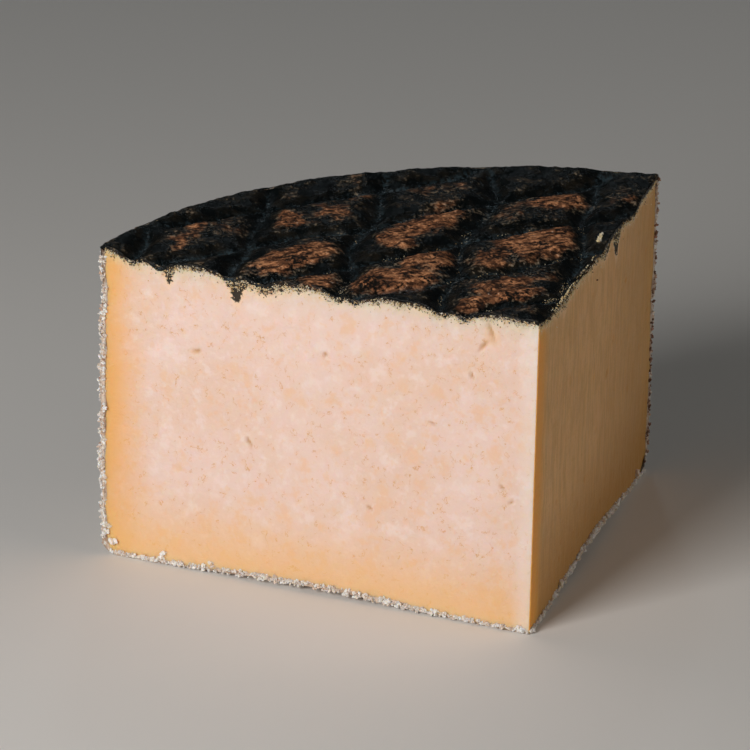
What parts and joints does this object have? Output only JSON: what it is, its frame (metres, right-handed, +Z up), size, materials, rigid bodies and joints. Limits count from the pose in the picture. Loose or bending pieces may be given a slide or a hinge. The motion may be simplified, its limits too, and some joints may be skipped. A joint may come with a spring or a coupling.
{
  "type": "smoked cheshire cheese",
  "caption": "Wedge cut from a small wheel of smoked hard cheese, with a rack-marked dark top, a pale lumpy rind and two flat cut faces.",
  "frame": {"origin": "on the resting surface, under the middle of the wedge's box", "axes": "+Z up; the tip, which is the wheel's centre, points to -Y and the rind faces +Y; +X to the right of the middle line seen from the tip"},
  "size_m": [0.1728, 0.1306, 0.0914],
  "materials": {
    "cheese_paste": "soft, fine-grained cut paste"
  },
  "bodies": {
    "root": {"smoked_cheese_wedge": "cheese_paste"}
  },
  "joints": []
}
